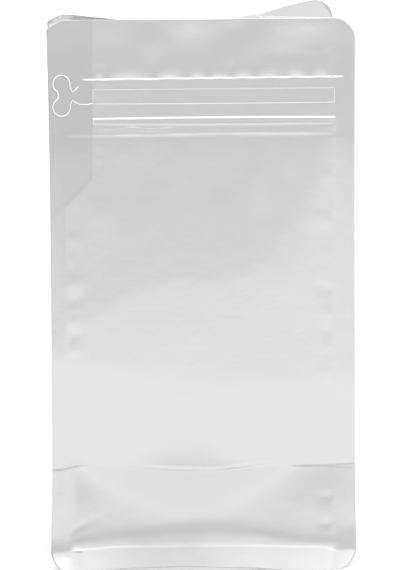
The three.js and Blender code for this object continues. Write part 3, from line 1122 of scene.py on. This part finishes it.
film, film_shader = new_material("satin film", tone=FILM_TONE, metallic=0.75, roughness=0.27)
film_tree = film.node_tree
# the film's colour is painted darker on its seals, as painted shade
add_seal_shade(film_tree.nodes, film_tree.links, film_shader, FILM_TONE, SEAL_SHADE_TONE)
add_grain(film_tree.nodes, film_tree.links, film_shader, FILM_GRAIN)
# Painted highlight: the tear tab's bead and the strip's end marks get a near-white matt colour for the light
# that their cut edges catch.
cut_highlight, _ = new_material("painted cut highlight", tone=0.86, metallic=0.0, roughness=0.5)
strip_plastic, _ = new_material("translucent white strip", tone=0.8, metallic=0.0, roughness=0.35)
# Partly the sealing layer's own colour and partly painted light: its near-white tone lightens the narrow gaps
# between the sheets, which lie in shade, and on the cut edges it is a painted highlight.
inner_layer_and_light, _ = new_material("sealing layer and painted light", tone=0.92, metallic=0.1, roughness=0.45)

# %% Each piece gets its outer and its inner side
# The base's lap shows under the arched skirt, so its film is satin on both sides.
FINISHES = {base: (film, film), strip: (strip_plastic,), bead: (cut_highlight,)}
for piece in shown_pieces():
    piece.data.materials.clear()
    for finish in FINISHES.get(piece, (film, inner_layer_and_light)):
        piece.data.materials.append(finish)

# %% [markdown]
# ## Studio
#
# Satin film has hardly a colour of its own: its greys are the room that it mirrors. So the studio is a plain
# white sweep, and its walls get darker and brighter with height, and a little brighter to the right. One soft
# light from above gives the contact shadow. A picture of a room would do too, but its details would show.

# %% Floor
FLOOR = {"half": 6, "tone": 0.84, "roughness": 0.9}  # half its width is in metres
floor_mesh = bpy.data.meshes.new("floor")
bm = bmesh.new()
bmesh.ops.create_grid(bm, x_segments=1, y_segments=1, size=FLOOR["half"])
bm.to_mesh(floor_mesh)
bm.free()
floor = bpy.data.objects.new("floor", floor_mesh)
bpy.context.scene.collection.objects.link(floor)
floor_finish, _ = new_material("pale floor", tone=FLOOR["tone"], metallic=0.0, roughness=FLOOR["roughness"])
floor_mesh.materials.append(floor_finish)

# %% Walls of the studio
STUDIO = (
    # elevation in degrees, brightness
    (-90, 1.25),
    (-4, 1.45),
    (0, 1.32),
    (3, 1.12),
    (6, 0.96),
    (10, 0.79),
    (16, 0.71),
    (24, 1.05),
    (34, 1.55),
    (50, 2.2),
    (90, 2.2),
)
TO_THE_RIGHT = 0.12
world = bpy.data.worlds.new("studio")
bpy.context.scene.world = world
world.use_nodes = True
nodes, links = world.node_tree.nodes, world.node_tree.links
coordinates = nodes.new("ShaderNodeTexCoord")
split = nodes.new("ShaderNodeSeparateXYZ")
scale = nodes.new("ShaderNodeMapRange")
scale.inputs["From Min"].default_value = -1
ramp = nodes.new("ShaderNodeValToRGB")
links.new(coordinates.outputs["Generated"], split.inputs[0])
links.new(split.outputs["Z"], scale.inputs["Value"])
links.new(scale.outputs[0], ramp.inputs[0])
links.new(ramp.outputs[0], nodes["Background"].inputs["Color"])
sideways = nodes.new("ShaderNodeMath")
sideways.operation = "MULTIPLY_ADD"
sideways.inputs[1].default_value = TO_THE_RIGHT
sideways.inputs[2].default_value = 1.0
links.new(split.outputs["X"], sideways.inputs[0])
links.new(sideways.outputs[0], nodes["Background"].inputs["Strength"])
stops = ramp.color_ramp.elements
while len(stops) < len(STUDIO):
    stops.new(0.5)
for stop, (elevation, brightness) in zip(stops, STUDIO):
    stop.position = (math.sin(math.radians(elevation)) + 1) / 2
    stop.color = (brightness, brightness, brightness, 1)
print("the studio has", len(stops), "steps of brightness")

# %% Light from above
LIGHT = {"place": (0, -0.6, 2.0), "aim": (0, 0, 0.1), "size": 3, "watts": 2}  # the lengths are metres
light_data = bpy.data.lights.new("top light", "AREA")
light_data.shape = "RECTANGLE"
light_data.size, light_data.size_y = LIGHT["size"], LIGHT["size"]
light_data.energy = LIGHT["watts"]
light = bpy.data.objects.new("top light", light_data)
light.location = LIGHT["place"]
light.rotation_euler = (Vector(LIGHT["aim"]) - Vector(LIGHT["place"])).to_track_quat("-Z", "Y").to_euler()
bpy.context.scene.collection.objects.link(light)
print("light at", LIGHT["place"])

# %% Camera, far away with a long lens
CAMERA_DISTANCE = 2000.0
CAMERA_ELEVATION = math.radians(14)
CAMERA_ROLL = math.radians(-0.34)
AIM = (-0.61, -22.0, 124.69)
PIXEL = 0.4386  # what a pixel of the picture covers at the aim
SENSOR = 36.0
IMAGE_HEIGHT = 570
forward = Vector((0, math.cos(CAMERA_ELEVATION), -math.sin(CAMERA_ELEVATION)))
level = Vector((1, 0, 0))
up = level.cross(forward)
right = level * math.cos(CAMERA_ROLL) + up * math.sin(CAMERA_ROLL)
top = up * math.cos(CAMERA_ROLL) - level * math.sin(CAMERA_ROLL)
camera_data = bpy.data.cameras.new("camera")
camera_data.sensor_width = SENSOR
camera_data.lens = SENSOR * CAMERA_DISTANCE / (IMAGE_HEIGHT * PIXEL)
camera = bpy.data.objects.new("camera", camera_data)
camera_place = (Vector(AIM) - forward * CAMERA_DISTANCE) * MM
camera.matrix_world = Matrix.Translation(camera_place) @ Matrix((right, top, -forward)).transposed().to_4x4()
bpy.context.scene.collection.objects.link(camera)
bpy.context.scene.camera = camera
bpy.context.scene.view_settings.view_transform = "Standard"
print("lens", round(camera_data.lens), "mm")
